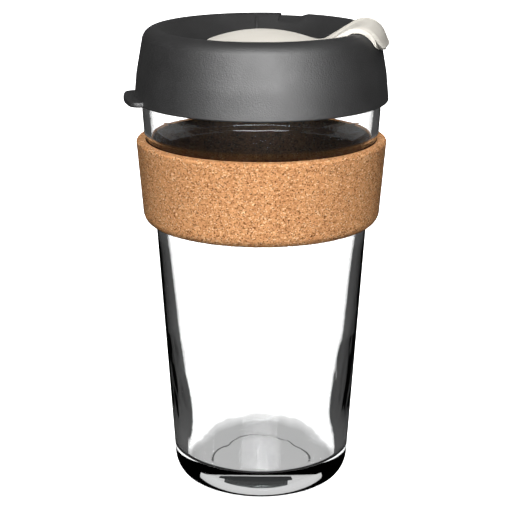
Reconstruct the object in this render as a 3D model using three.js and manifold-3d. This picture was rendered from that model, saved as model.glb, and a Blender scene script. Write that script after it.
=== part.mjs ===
// Glass travel cup with a cork grip band, a press-on lid and a swivelling plug.
// Millimetres, +Z up. The origin is on the cup's axis, in the plane it stands on.
import * as THREE from 'three';
import { mergeVertices } from 'three/addons/utils/BufferGeometryUtils.js';
import Module from 'manifold-3d';

const wasm = await Module();
wasm.setup();

const rad = THREE.MathUtils.degToRad;

// Smoothness
const SEGMENTS = 48;
const ARC_STEP = rad(24);
const MERGE = 1e-4;
const FILLET_SHARE = 0.98;
const OVERLAP = 1;
const CURVE_SEGMENTS = 10;
const DOME_STEPS = 7;
const HOLLOW_STEPS = 4;

// Clearances
const GAP = 0.3;
const BORE_GAP = 0.2;

// Glass cup
const GLASS_HEIGHT = 149.3;
const FOOT_RADIUS = 30.7;
const FOOT_FILLET = 10.5;
const PUNT_RADIUS = 17;
const PUNT_DEPTH = 1;
const SHOULDER_DROP = 26.7;
const SHOULDER_RADIUS = 38.8;
const SHOULDER_FILLET = 4;
const COLLAR_DROP = 20.5;
const COLLAR_RADIUS = 40.8;
const COLLAR_FILLET = 4;
const RIM_RADIUS = 41.3;
const RIM_WALL = 2.4;
const RIM_STRAIGHT = 13;
const RIM_FILLET = 6;
const LIP_SHARE = 0.45;
const SHOULDER_WALL = 3;
const INNER_SHOULDER_DROP = 1;
const INNER_SHOULDER_FILLET = 5;
const FLOOR_THICKNESS = 11.6;
const FLOOR_RADIUS = 26.2;
const FLOOR_FILLET = 1.8;
const WAIST_RISE = 12;
const WAIST_INSET = 0.4;
const WAIST_FILLET = 60;
const LOWER_STEP_HEIGHT = 42;
const LOWER_STEP_WALL = 5.3;
const MIDDLE_STEP_HEIGHT = 57;
const MIDDLE_STEP_WALL = 4.4;
const UPPER_STEP_HEIGHT = 91;
const UPPER_STEP_WALL = 3.3;
const UPPER_STEP_FILLET = 60;
const STEP_FILLET = 20;

// Cork band
const BAND_HEIGHT = 29.5;
const BAND_NEST = 3.8;
const BAND_TOP_WALL = 3.3;
const BAND_BOTTOM_WALL = 3.8;
const BAND_BOTTOM_FILLET = 5.4;
const BAND_TOP_FILLET = 1;

// Lid
const LID_WALL = 1.8;
const SKIRT_DROP = 9.2;
const SKIRT_EDGE_WALL = 2.4;
const SKIRT_WALL = 1.5;
const SKIRT_FILLET = 12;
const LID_EDGE_FILLET = 0.5;
const LID_CORNER_RISE = 18.8;
const LID_LEAN = 3.35;
const CREST_FILLET = 4.5;
const BOWL_SLOPE = rad(34.7);
const BOWL_DEPTH = 10.9;
const BOWL_FILLET = 8;
const GROOVE_RISE = 9.7;
const RIB_WALL = 1.5;
const RIB_DROP = 4.8;
const FLANGE_FILLET = 2;
const STEM_HOLE_RADIUS = 4;

// Finger tab on the lid's edge
const TAB_AZIMUTH = rad(188.5);
const TAB_REACH = 3.7;
const TAB_HALF_WIDTH = 12.5;
const TAB_THICKNESS = 1.9;
const TAB_CORNER = 3.5;

// Sip opening under the closed plug, and the recess and stop rib where the plug is parked open
const SIP_LENGTH = 10;
const SIP_WIDTH = 4;
const SIP_INSET = 8.25;
const RECESS_AZIMUTH = rad(70.5);
const RECESS_HALF_ANGLE = rad(8.5);
const RECESS_DEPTH = 0.8;
const RECESS_REACH = 8;
const STOP_AZIMUTH = rad(93);
const STOP_WIDTH = 0.8;
const STOP_HEIGHT = 0.9;
const STOP_INSET = 6.75;
const STOP_LENGTH = 6;

// Swivel plug
const PLUG_AZIMUTH = rad(-9);
const DISC_MARGIN = 5;
const DISC_EDGE = 2.5;
const DISC_FILLET = 0.8;
const DOME_RISE = 3.7;
const DOME_SHELL = 2;
const DISC_RIM_WALL = 2.5;
const ARM_WALL = 1.7;
const ARM_ROOT_OVERLAP = 1;
const ARM_ROOT_HALF_WIDTH = 9.5;
const ARM_NECK_REACH = 4.5;
const ARM_NECK_HALF_WIDTH = 13.2;
const ARM_HALF_WIDTH = 13.6;
const ARM_BULGE = 0.5;
const ARM_TIP_HALF_WIDTH = 12;
const ARM_TIP_CORNER = 5;
const HOOK_REACH = 9.1;
const LIP_FLARE = 0.5;
const LIP_HEIGHT = 4;
const LIP_FILLET = 0.6;
const SNAP_LIP = 1;
const SNAP_LENGTH = 3.2;
const SNAP_TIP_RADIUS = 3;

// Heights and places that follow from the sizes above
const shoulderHeight = GLASS_HEIGHT - SHOULDER_DROP;
const collarHeight = GLASS_HEIGHT - COLLAR_DROP;
const rimStraightHeight = GLASS_HEIGHT - RIM_STRAIGHT;
const glassTaper = (SHOULDER_RADIUS - FOOT_RADIUS) / shoulderHeight;
const bandTop = shoulderHeight + BAND_NEST;
const bandBottom = bandTop - BAND_HEIGHT;
const lidBottom = GLASS_HEIGHT - SKIRT_DROP;
const grooveRadius = RIM_RADIUS + GAP;
const skirtEdgeRadius = grooveRadius + SKIRT_EDGE_WALL;
const skirtRadius = grooveRadius + SKIRT_WALL;
const ribRadius = RIM_RADIUS - RIM_WALL - GAP;
const lidCorner = new THREE.Vector2(skirtRadius - LID_LEAN, GLASS_HEIGHT + LID_CORNER_RISE);
const bowlFloor = lidCorner.y - BOWL_DEPTH;
const bowlFloorRadius = lidCorner.x - BOWL_DEPTH / Math.tan(BOWL_SLOPE);
const sipRadius = lidCorner.x - SIP_INSET;
const stopOuterRadius = lidCorner.x - STOP_INSET;
const stopInnerRadius = stopOuterRadius - STOP_LENGTH;
const discRadius = bowlFloorRadius - DISC_MARGIN;
const stemRadius = STEM_HOLE_RADIUS - BORE_GAP;
const hookBottom = lidCorner.y - HOOK_REACH;

/** A corner of an outline, in the plane of radius and height, with the fillet that rounds it. */
function corner(r, z, fillet = 0) {
  return { point: new THREE.Vector2(r, z), fillet };
}

/** Radius of the glass's outer cone at a height below the shoulder. */
function coneRadius(height) {
  return FOOT_RADIUS + glassTaper * height;
}

/** Turns corners into points, with each fillet as an arc that meets both sides. */
function roundedPoints(corners) {
  const bends = corners.map(({ point, fillet }, index) => {
    const before = corners[index - 1];
    const after = corners[index + 1];
    if (!fillet || !before || !after) return { half: 0, wanted: 0 };
    const back = before.point.clone().sub(point);
    const ahead = after.point.clone().sub(point);
    const half = Math.acos(back.dot(ahead) / (back.length() * ahead.length())) / 2;
    return { half, wanted: fillet / Math.tan(half) };
  });
  const points = [];
  corners.forEach(({ point }, index) => {
    const { half, wanted } = bends[index];
    if (!wanted) {
      points.push(point.clone());
      return;
    }
    const back = corners[index - 1].point.clone().sub(point);
    const ahead = corners[index + 1].point.clone().sub(point);
    const shareBack = back.length() / (wanted + bends[index - 1].wanted);
    const shareAhead = ahead.length() / (wanted + bends[index + 1].wanted);
    const reach = wanted * Math.min(1, FILLET_SHARE * shareBack, FILLET_SHARE * shareAhead);
    const radius = reach * Math.tan(half);
    const start = point.clone().addScaledVector(back.normalize(), reach);
    const middle = back.add(ahead.normalize()).normalize();
    const centre = point.clone().addScaledVector(middle, radius / Math.sin(half));
    const side = Math.sign(middle.cross(start.clone().sub(centre)));
    const sweep = Math.PI - 2 * half;
    const steps = Math.max(1, Math.ceil(sweep / ARC_STEP));
    for (let step = 0; step <= steps; step += 1) {
      points.push(start.clone().rotateAround(centre, side * sweep * (step / steps)));
    }
  });
  return points;
}

/** Moves an open outline sideways; a positive distance goes to the left of its direction. */
function offsetCorners(corners, distance) {
  const sides = corners.slice(1).map(({ point }, index) => {
    const start = corners[index].point;
    const direction = point.clone().sub(start).normalize();
    const normal = new THREE.Vector2(-direction.y, direction.x);
    return { start: start.clone().addScaledVector(normal, distance), direction, normal };
  });
  return corners.map(({ point, fillet }, index) => {
    const into = sides[index - 1];
    const out = sides[index];
    if (!into || !out) {
      const moved = point.clone().addScaledVector((into ?? out).normal, distance);
      return corner(moved.x, moved.y, fillet);
    }
    const turn = into.direction.cross(out.direction);
    const along = out.start.clone().sub(into.start).cross(out.direction) / turn;
    const moved = into.start.clone().addScaledVector(into.direction, along);
    const rounded = fillet ? Math.max(fillet - Math.sign(turn) * distance, MERGE) : 0;
    return corner(moved.x, moved.y, rounded);
  });
}

/** Makes a closed geometry into a solid whose faces point out. */
function toSolid(geometry) {
  geometry.deleteAttribute('normal');
  geometry.deleteAttribute('uv');
  const merged = mergeVertices(geometry, MERGE);
  const index = merged.index.array;
  const position = merged.attributes.position;
  const a = new THREE.Vector3();
  const b = new THREE.Vector3();
  const c = new THREE.Vector3();
  const triangles = [];
  let volume = 0;
  for (let i = 0; i < index.length; i += 3) {
    const [p, q, s] = index.slice(i, i + 3);
    if (p === q || q === s || s === p) continue;
    triangles.push([p, q, s]);
    a.fromBufferAttribute(position, p);
    b.fromBufferAttribute(position, q);
    c.fromBufferAttribute(position, s);
    volume += a.dot(b.cross(c));
  }
  const ordered = volume < 0 ? triangles.map(([p, q, s]) => [p, s, q]) : triangles;
  return new wasm.Manifold(new wasm.Mesh({
    numProp: 3,
    vertProperties: new Float32Array(position.array),
    triVerts: new Uint32Array(ordered.flat()),
  }));
}

/** Revolves a list of points about the axis. An outline that leaves the axis open is closed. */
function revolved(points) {
  const outline = points.map((point) => new THREE.Vector2(Math.max(point.x, 0), point.y));
  const closed = outline[0].x === 0 && outline[outline.length - 1].x === 0;
  if (!closed) outline.push(outline[0].clone());
  return toSolid(new THREE.LatheGeometry(outline, SEGMENTS).rotateX(Math.PI / 2));
}

/** Extrudes a plan shape between two heights and turns it about the axis. */
function upright(shape, bottom, top, azimuth) {
  const geometry = new THREE.ExtrudeGeometry(shape, {
    depth: top - bottom,
    bevelEnabled: false,
    curveSegments: CURVE_SEGMENTS,
  });
  geometry.translate(0, 0, bottom);
  geometry.rotateZ(azimuth);
  return toSolid(geometry);
}

/** Wraps a solid as a named mesh with its finish. */
function piece(name, solid, finish) {
  const { vertProperties, triVerts } = solid.getMesh();
  const geometry = new THREE.BufferGeometry();
  geometry.setAttribute('position', new THREE.BufferAttribute(vertProperties, 3));
  geometry.setIndex(new THREE.BufferAttribute(triVerts, 1));
  geometry.computeVertexNormals();
  const mesh = new THREE.Mesh(geometry, new THREE.MeshStandardMaterial(finish));
  mesh.name = name;
  return mesh;
}

/** The glass's outer side, from its foot up to its rim. */
function glassSide() {
  return [
    corner(FOOT_RADIUS, 0, FOOT_FILLET),
    corner(SHOULDER_RADIUS, shoulderHeight, SHOULDER_FILLET),
    corner(COLLAR_RADIUS, collarHeight, COLLAR_FILLET),
    corner(RIM_RADIUS, rimStraightHeight, RIM_FILLET),
  ];
}

/** Pressed glass with a heavy foot, a wall that thins upwards, and a shoulder under its rim. */
function glassCup() {
  const lip = LIP_SHARE * RIM_WALL;
  const innerRim = RIM_RADIUS - RIM_WALL;
  const innerShoulder = shoulderHeight - INNER_SHOULDER_DROP;
  const upperWall = coneRadius(UPPER_STEP_HEIGHT) - UPPER_STEP_WALL;
  const middleWall = coneRadius(MIDDLE_STEP_HEIGHT) - MIDDLE_STEP_WALL;
  const lowerWall = coneRadius(LOWER_STEP_HEIGHT) - LOWER_STEP_WALL;
  const outline = [
    corner(0, PUNT_DEPTH),
    corner(PUNT_RADIUS, PUNT_DEPTH),
    corner(PUNT_RADIUS + PUNT_DEPTH, 0),
    ...glassSide(),
    corner(RIM_RADIUS, GLASS_HEIGHT, lip),
    corner(innerRim, GLASS_HEIGHT, lip),
    corner(innerRim, rimStraightHeight, RIM_FILLET),
    corner(COLLAR_RADIUS - RIM_WALL, collarHeight, COLLAR_FILLET),
    corner(SHOULDER_RADIUS - SHOULDER_WALL, innerShoulder, INNER_SHOULDER_FILLET),
    corner(upperWall, UPPER_STEP_HEIGHT, UPPER_STEP_FILLET),
    corner(middleWall, MIDDLE_STEP_HEIGHT, STEP_FILLET),
    corner(lowerWall, LOWER_STEP_HEIGHT, STEP_FILLET),
    corner(FLOOR_RADIUS - WAIST_INSET, FLOOR_THICKNESS + WAIST_RISE, WAIST_FILLET),
    corner(FLOOR_RADIUS, FLOOR_THICKNESS, FLOOR_FILLET),
    corner(0, FLOOR_THICKNESS),
  ];
  return revolved(roundedPoints(outline));
}

/** The stretch of a rising outline between two heights, cut where it crosses them. */
function between(points, low, high) {
  const crossing = (start, end, height) => {
    return start.clone().lerp(end, (height - start.y) / (end.y - start.y));
  };
  const kept = [];
  points.slice(1).forEach((end, index) => {
    const start = points[index];
    if (end.y <= low || start.y >= high) return;
    kept.push(start.y < low ? crossing(start, end, low) : start.clone());
    if (end.y > high) kept.push(crossing(start, end, high));
  });
  return kept;
}

/** Cork ring that grips the cone and nests over the shoulder, clear of the glass all the way. */
function corkBand() {
  const inside = between(roundedPoints(offsetCorners(glassSide(), -GAP)), bandBottom, bandTop);
  const innerBottom = inside[0].x;
  const innerTop = inside[inside.length - 1].x;
  const outline = [
    corner(innerBottom, bandBottom),
    corner(innerBottom + BAND_BOTTOM_WALL, bandBottom, BAND_BOTTOM_FILLET),
    corner(innerTop + BAND_TOP_WALL, bandTop, BAND_TOP_FILLET),
    ...inside.slice(1).reverse().map((point) => corner(point.x, point.y)),
  ];
  return revolved(roundedPoints(outline));
}

/** The lid's visible face, from the axis over the crest and down to the skirt's edge. */
function lidFace() {
  return [
    corner(0, bowlFloor),
    corner(bowlFloorRadius, bowlFloor, BOWL_FILLET),
    corner(lidCorner.x, lidCorner.y, CREST_FILLET),
    corner(skirtRadius, GLASS_HEIGHT + GAP, SKIRT_FILLET),
    corner(skirtEdgeRadius, lidBottom),
  ];
}

/** Where the band between two offsets of the lid's face has its outline. */
function faceBand(low, high) {
  const under = roundedPoints(offsetCorners(lidFace(), low));
  const over = roundedPoints(offsetCorners(lidFace(), high)).reverse();
  return [...under, ...over];
}

/** Moulded lid shell: bowl, crest and skirt, with a groove that holds the glass's rim. */
function lidShell() {
  const inside = offsetCorners(lidFace(), -LID_WALL);
  const wallSide = inside[3].point;
  const wallTop = inside[2].point;
  const grooveTop = GLASS_HEIGHT + GROOVE_RISE;
  const wallShare = (grooveTop - wallSide.y) / (wallTop.y - wallSide.y);
  const grooveTopRadius = wallSide.x + wallShare * (wallTop.x - wallSide.x);
  const flangeRadius = ribRadius - RIB_WALL;
  const bowlUnder = inside[1].point;
  const flangeTop = bowlUnder.y + (flangeRadius - bowlUnder.x) * Math.tan(BOWL_SLOPE);
  const outline = [
    corner(STEM_HOLE_RADIUS, bowlFloor),
    ...lidFace().slice(1, -1),
    corner(skirtEdgeRadius, lidBottom, LID_EDGE_FILLET),
    corner(grooveRadius, lidBottom),
    corner(grooveRadius, GLASS_HEIGHT + GAP),
    corner(grooveTopRadius, grooveTop),
    corner(ribRadius, grooveTop),
    corner(ribRadius, GLASS_HEIGHT - RIB_DROP, LID_EDGE_FILLET),
    corner(flangeRadius, GLASS_HEIGHT - RIB_DROP, LID_EDGE_FILLET),
    corner(flangeRadius, flangeTop, FLANGE_FILLET),
    corner(bowlUnder.x, bowlUnder.y, BOWL_FILLET),
    corner(STEM_HOLE_RADIUS, bowlUnder.y),
  ];
  return revolved(roundedPoints(outline));
}

/** Plan outline of the tab, along +X, with two round corners. */
function tabShape() {
  const reach = skirtEdgeRadius + TAB_REACH;
  const cornerDistance = reach - TAB_CORNER;
  const cornerSide = TAB_HALF_WIDTH - TAB_CORNER;
  const cornerAngle = Math.asin(cornerSide / cornerDistance);
  const cornerAlong = cornerDistance * Math.cos(cornerAngle);
  const root = skirtEdgeRadius - SKIRT_EDGE_WALL / 2;
  const shape = new THREE.Shape();
  shape.moveTo(root * Math.cos(cornerAngle), -TAB_HALF_WIDTH);
  shape.absarc(cornerAlong, -cornerSide, TAB_CORNER, -Math.PI / 2, -cornerAngle, false);
  shape.absarc(0, 0, reach, -cornerAngle, cornerAngle, false);
  shape.absarc(cornerAlong, cornerSide, TAB_CORNER, cornerAngle, Math.PI / 2, false);
  shape.lineTo(root * Math.cos(cornerAngle), TAB_HALF_WIDTH);
  const rootAngle = Math.asin(TAB_HALF_WIDTH / root);
  shape.absarc(0, 0, root, rootAngle, -rootAngle, true);
  return shape;
}

/** Plan outline of a wedge about +X, between two radii. */
function wedgeShape(inner, outer, halfAngle) {
  const shape = new THREE.Shape();
  shape.absarc(0, 0, outer, -halfAngle, halfAngle, false);
  shape.absarc(0, 0, inner, halfAngle, -halfAngle, true);
  return shape;
}

/** Plan outline of a straight bar along +X. */
function barShape(inner, outer, width) {
  const shape = new THREE.Shape();
  shape.moveTo(inner, -width / 2);
  shape.lineTo(outer, -width / 2);
  shape.lineTo(outer, width / 2);
  shape.lineTo(inner, width / 2);
  return shape;
}

/** Plan outline of a slot across +X, with round ends. */
function slotShape(radius, length, width) {
  const end = (length - width) / 2;
  const shape = new THREE.Shape();
  shape.absarc(radius, -end, width / 2, Math.PI, 2 * Math.PI, false);
  shape.absarc(radius, end, width / 2, 0, Math.PI, false);
  return shape;
}

/** The finished lid, with its tab, sip opening, parking recess and stop rib. */
function lid() {
  const top = lidCorner.y;
  const crestSpan = wedgeShape(lidCorner.x - RECESS_REACH, skirtEdgeRadius, RECESS_HALF_ANGLE);
  const recess = revolved(faceBand(-RECESS_DEPTH, ARM_WALL))
    .intersect(upright(crestSpan, top - RECESS_REACH, top, RECESS_AZIMUTH));
  const slot = upright(slotShape(sipRadius, SIP_LENGTH, SIP_WIDTH), lidBottom, top, PLUG_AZIMUTH);
  const ribPlan = barShape(stopInnerRadius, stopOuterRadius, STOP_WIDTH);
  const stopRib = revolved(faceBand(-LID_WALL / 2, STOP_HEIGHT))
    .intersect(upright(ribPlan, bowlFloor - LID_WALL, top, STOP_AZIMUTH));
  const tab = upright(tabShape(), lidBottom, lidBottom + TAB_THICKNESS, TAB_AZIMUTH);
  return lidShell().add(tab).add(stopRib).subtract(recess).subtract(slot);
}

/** Domed disc with a hollow underside and a stem that snaps through the lid's hole. */
function plugDisc() {
  const seat = bowlFloor + GAP;
  const edgeTop = seat + DISC_EDGE;
  const snapTop = bowlFloor - LID_WALL - GAP;
  const domeHeight = (r) => edgeTop + DOME_RISE * (1 - (r / discRadius) ** 2);
  const hollowRadius = discRadius - DISC_RIM_WALL;
  const hubRadius = stemRadius + DOME_SHELL;
  const dome = [];
  for (let step = 0; step < DOME_STEPS; step += 1) {
    const r = (discRadius - DISC_FILLET) * (step / DOME_STEPS);
    dome.push(corner(r, domeHeight(r)));
  }
  const hollow = [];
  for (let step = 0; step <= HOLLOW_STEPS; step += 1) {
    const r = hollowRadius + (hubRadius - hollowRadius) * (step / HOLLOW_STEPS);
    hollow.push(corner(r, domeHeight(r) - DOME_SHELL));
  }
  const outline = [
    ...dome,
    corner(discRadius, edgeTop, DISC_FILLET),
    corner(discRadius, seat),
    corner(hollowRadius, seat),
    ...hollow,
    corner(hubRadius, seat),
    corner(stemRadius, seat),
    corner(stemRadius, snapTop),
    corner(STEM_HOLE_RADIUS + SNAP_LIP, snapTop),
    corner(SNAP_TIP_RADIUS, snapTop - SNAP_LENGTH),
    corner(0, snapTop - SNAP_LENGTH),
  ];
  return revolved(roundedPoints(outline));
}

/** Plan outline of the arm along +X: it leaves the disc narrow, and is widest on the crest. */
function armShape() {
  const root = discRadius - DISC_RIM_WALL + ARM_ROOT_OVERLAP;
  const neck = root + ARM_NECK_REACH;
  const crest = lidCorner.x - CREST_FILLET;
  const end = skirtEdgeRadius + ARM_WALL + LIP_FLARE + OVERLAP;
  const bulge = ARM_HALF_WIDTH + ARM_BULGE;
  const shape = new THREE.Shape();
  shape.moveTo(root, -ARM_ROOT_HALF_WIDTH);
  shape.quadraticCurveTo(neck, -ARM_NECK_HALF_WIDTH, crest, -ARM_HALF_WIDTH);
  shape.quadraticCurveTo(lidCorner.x, -bulge, end, -ARM_TIP_HALF_WIDTH);
  shape.lineTo(end, ARM_TIP_HALF_WIDTH);
  shape.quadraticCurveTo(lidCorner.x, bulge, crest, ARM_HALF_WIDTH);
  shape.quadraticCurveTo(neck, ARM_NECK_HALF_WIDTH, root, ARM_ROOT_HALF_WIDTH);
  return shape;
}

/** Radius of a straight side between two corners, at a height. */
function sideRadius(upper, lower, height) {
  const share = (upper.point.y - height) / (upper.point.y - lower.point.y);
  return upper.point.x + share * (lower.point.x - upper.point.x);
}

/** Flared lip around the hook's lower edge, in section. */
function lipOutline() {
  const [, , upper, lower] = offsetCorners(lidFace(), GAP + ARM_WALL);
  const innerShare = ARM_WALL / 2;
  const lipTop = hookBottom + LIP_HEIGHT;
  const bottomRadius = sideRadius(upper, lower, hookBottom);
  const topRadius = sideRadius(upper, lower, lipTop);
  return [
    corner(bottomRadius - innerShare, hookBottom),
    corner(bottomRadius + LIP_FLARE, hookBottom, LIP_FILLET),
    corner(bottomRadius + LIP_FLARE, hookBottom + 2 * LIP_FILLET, LIP_FILLET),
    corner(topRadius - innerShare, lipTop),
  ];
}

/** Side outline that rounds the two lower corners of the hook, looking along the arm. */
function hookShape() {
  const bottom = hookBottom;
  const top = lidCorner.y + ARM_WALL;
  const side = ARM_HALF_WIDTH + OVERLAP;
  const inner = ARM_TIP_HALF_WIDTH - ARM_TIP_CORNER;
  const cornerTop = bottom + ARM_TIP_CORNER + OVERLAP;
  const shape = new THREE.Shape();
  shape.moveTo(-side, top);
  shape.lineTo(-side, cornerTop);
  shape.quadraticCurveTo(-ARM_TIP_HALF_WIDTH, bottom, -inner, bottom);
  shape.lineTo(inner, bottom);
  shape.quadraticCurveTo(ARM_TIP_HALF_WIDTH, bottom, side, cornerTop);
  shape.lineTo(side, top);
  return shape;
}

/** A block along the arm that leaves only the rounded hook at its end. */
function hookTrim() {
  const start = lidCorner.x;
  const geometry = new THREE.ExtrudeGeometry(hookShape(), {
    depth: start,
    bevelEnabled: false,
    curveSegments: CURVE_SEGMENTS,
  });
  geometry.rotateX(Math.PI / 2);
  geometry.rotateZ(Math.PI / 2);
  geometry.translate(start - CREST_FILLET - OVERLAP, 0, 0);
  geometry.rotateZ(PLUG_AZIMUTH);
  return toSolid(geometry);
}

/** The plug: disc, stem, arm and hook in one moulding. */
function swivelPlug() {
  const low = lidBottom;
  const high = lidCorner.y + ARM_WALL;
  const section = revolved(faceBand(GAP, GAP + ARM_WALL)).add(revolved(roundedPoints(lipOutline())));
  const arm = section.intersect(upright(armShape(), low, high, PLUG_AZIMUTH));
  const split = lidCorner.x - CREST_FILLET;
  const innerPlan = barShape(0, split, 2 * skirtEdgeRadius);
  const innerArm = arm.intersect(upright(innerPlan, low, high, PLUG_AZIMUTH));
  const hook = arm.intersect(hookTrim());
  return plugDisc().add(innerArm).add(hook);
}

const cup = new THREE.Group();
cup.name = 'travel_cup';
cup.add(piece('glass_cup', glassCup(), { color: 0xe6ebea, roughness: 0.03, metalness: 0 }));
cup.add(piece('cork_band', corkBand(), { color: 0xc49a6c, roughness: 0.85, metalness: 0 }));
cup.add(piece('lid', lid(), { color: 0x55534f, roughness: 0.45, metalness: 0 }));
cup.add(piece('swivel_plug', swivelPlug(), { color: 0xdcd8cf, roughness: 0.5, metalness: 0 }));

export default cup;
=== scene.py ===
"""Looks for the glass travel cup: pressed glass, a cork grip band, a press-on lid and a swivelling plug.

Every size is in metres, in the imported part's own frame: +Z up, the origin under the cup's axis.
"""
import logging
from dataclasses import dataclass
from enum import Enum
from math import acos, ceil, cos, hypot, pi, radians, sin, sqrt, tan
from typing import Callable, Sequence

import bmesh
import bpy
from mathutils import Matrix, Vector, kdtree, noise


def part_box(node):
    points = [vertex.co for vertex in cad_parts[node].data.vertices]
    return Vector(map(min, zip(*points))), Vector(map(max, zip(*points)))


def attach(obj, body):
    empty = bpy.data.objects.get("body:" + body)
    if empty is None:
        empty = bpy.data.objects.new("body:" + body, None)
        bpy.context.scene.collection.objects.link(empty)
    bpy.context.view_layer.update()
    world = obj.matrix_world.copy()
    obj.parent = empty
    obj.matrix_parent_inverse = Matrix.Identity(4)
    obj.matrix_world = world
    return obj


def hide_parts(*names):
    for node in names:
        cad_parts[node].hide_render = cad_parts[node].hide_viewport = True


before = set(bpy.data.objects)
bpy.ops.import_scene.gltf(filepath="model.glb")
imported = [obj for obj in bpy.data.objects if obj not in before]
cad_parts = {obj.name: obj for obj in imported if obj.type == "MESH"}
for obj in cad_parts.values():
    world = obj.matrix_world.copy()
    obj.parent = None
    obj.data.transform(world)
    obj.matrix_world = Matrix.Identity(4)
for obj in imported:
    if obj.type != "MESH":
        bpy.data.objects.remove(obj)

logging.basicConfig(level=logging.INFO, format="%(message)s")
LOG = logging.getLogger("travel_cup")

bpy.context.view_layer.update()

GAP = 0.0003
WELD = 1e-6
SHARP_ANGLE = radians(38)
FILLET_SHARE = 0.98


class Body(Enum):
    """The CAD bodies that pieces ride on."""

    CUP = "cup"
    BAND = "band"
    LID = "lid"
    PLUG = "plug"


class Slot(Enum):
    """The record's material slots."""

    GLASS = "glass"
    CORK = "cork"
    LID = "lid"
    PLUG = "plug"


# --------------------------------------------------------------------------- outlines


@dataclass(frozen=True)
class Corner:
    """A corner of a turned outline, in radius and height, with the fillet that rounds it."""

    radius: float
    height: float
    fillet: float = 0.0

    @property
    def point(self) -> Vector:
        """The corner as a 2-D vector."""
        return Vector((self.radius, self.height))


def _bend(before: Vector, point: Vector, after: Vector) -> float:
    """Half the inner angle at a corner.

    Args:
        before: The corner before it.
        point: The corner itself.
        after: The corner after it.

    Returns:
        The half angle in radians.
    """
    back = (before - point).normalized()
    ahead = (after - point).normalized()
    return acos(max(-1.0, min(1.0, back.dot(ahead)))) / 2


def rounded(corners: Sequence[Corner], arc_step: float = radians(7)) -> list[Vector]:
    """Turns corners into points, with each fillet as an arc that meets both of its sides.

    Args:
        corners: The outline's corners, in order. The first and last are never rounded.
        arc_step: The most that an arc turns from one point to the next.

    Returns:
        The outline's points.
    """
    last = len(corners) - 1
    halves, wanted = [], []
    for index, item in enumerate(corners):
        if index in (0, last) or item.fillet <= 0:
            halves.append(0.0)
            wanted.append(0.0)
            continue
        half = _bend(corners[index - 1].point, item.point, corners[index + 1].point)
        halves.append(half)
        wanted.append(item.fillet / tan(half))
    points: list[Vector] = []
    for index, item in enumerate(corners):
        if not wanted[index]:
            points.append(item.point)
            continue
        back = corners[index - 1].point - item.point
        ahead = corners[index + 1].point - item.point
        share = min(
            1.0,
            FILLET_SHARE * back.length / (wanted[index] + wanted[index - 1]),
            FILLET_SHARE * ahead.length / (wanted[index] + wanted[index + 1]),
        )
        reach = wanted[index] * share
        radius = reach * tan(halves[index])
        start = item.point + back.normalized() * reach
        middle = (back.normalized() + ahead.normalized()).normalized()
        centre = item.point + middle * (radius / sin(halves[index]))
        arm = start - centre
        side = 1.0 if middle.x * arm.y - middle.y * arm.x > 0 else -1.0
        sweep = pi - 2 * halves[index]
        steps = max(1, ceil(sweep / arc_step))
        for step in range(steps + 1):
            turn = side * sweep * step / steps
            spun = Vector((arm.x * cos(turn) - arm.y * sin(turn), arm.x * sin(turn) + arm.y * cos(turn)))
            points.append(centre + spun)
    return points


def offset(corners: Sequence[Corner], distance: float) -> list[Corner]:
    """Moves an open outline sideways.

    Args:
        corners: The outline's corners.
        distance: How far; a positive distance goes to the left of the outline's direction.

    Returns:
        The moved corners, with their fillets grown or shrunk to stay concentric.
    """
    sides = []
    for first, second in zip(corners, corners[1:]):
        direction = (second.point - first.point).normalized()
        normal = Vector((-direction.y, direction.x))
        sides.append((first.point + normal * distance, direction, normal))
    moved = []
    for index, item in enumerate(corners):
        if index in (0, len(corners) - 1):
            normal = sides[min(index, len(sides) - 1)][2]
            point = item.point + normal * distance
            moved.append(Corner(point.x, point.y, item.fillet))
            continue
        start, into, _ = sides[index - 1]
        other, out, _ = sides[index]
        turn = into.x * out.y - into.y * out.x
        gap = other - start
        along = (gap.x * out.y - gap.y * out.x) / turn
        point = start + into * along
        grown = item.fillet - (distance if turn > 0 else -distance)
        moved.append(Corner(point.x, point.y, max(grown, WELD) if item.fillet else 0.0))
    return moved


def refined(points: Sequence[Vector], longest: float) -> list[Vector]:
    """Splits the long runs of an outline.

    Args:
        points: The outline's points.
        longest: The longest side that is left as it is.

    Returns:
        The outline with extra points along its long sides.
    """
    fine: list[Vector] = []
    for first, second in zip(points, points[1:]):
        steps = max(1, ceil((second - first).length / longest))
        fine.extend(first.lerp(second, step / steps) for step in range(steps))
    fine.append(points[-1])
    return fine


def crossing(first: Vector, second: Vector, axis: int, value: float) -> Vector:
    """The point between two others where one coordinate has a value."""
    return first.lerp(second, (value - first[axis]) / (second[axis] - first[axis]))


def between(points: Sequence[Vector], low: float, high: float) -> list[Vector]:
    """Keeps the stretch of a rising outline between two heights.

    Args:
        points: The outline's points.
        low: The lower height.
        high: The upper height.

    Returns:
        The stretch, cut where it crosses the heights.
    """
    kept = []
    for first, second in zip(points, points[1:]):
        if second.y <= low or first.y >= high:
            continue
        kept.append(crossing(first, second, 1, low) if first.y < low else first)
        if second.y > high:
            kept.append(crossing(first, second, 1, high))
    return kept


def over_crest(points: Sequence[Vector], inner: float, bottom: float) -> list[Vector]:
    """Keeps the stretch of the lid's face from a radius in the bowl, over the crest, to a height outside.

    Args:
        points: The outline's points, from the axis outwards.
        inner: The radius where the stretch starts.
        bottom: The height where it ends, on the far side of the crest.

    Returns:
        The stretch, cut at both ends.
    """
    top = max(range(len(points)), key=lambda index: points[index].y)
    kept = []
    for index, (first, second) in enumerate(zip(points, points[1:])):
        if second.x > inner or index >= top:
            kept.append(crossing(first, second, 0, inner) if first.x < inner and index < top else first)
        if index >= top and second.y < bottom:
            kept.append(crossing(first, second, 1, bottom))
            break
    return kept


def steps_between(first: float, last: float, steps: int) -> list[float]:
    """Evenly spaced values from first to last, both included."""
    return [first + (last - first) * step / steps for step in range(steps + 1)]


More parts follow.
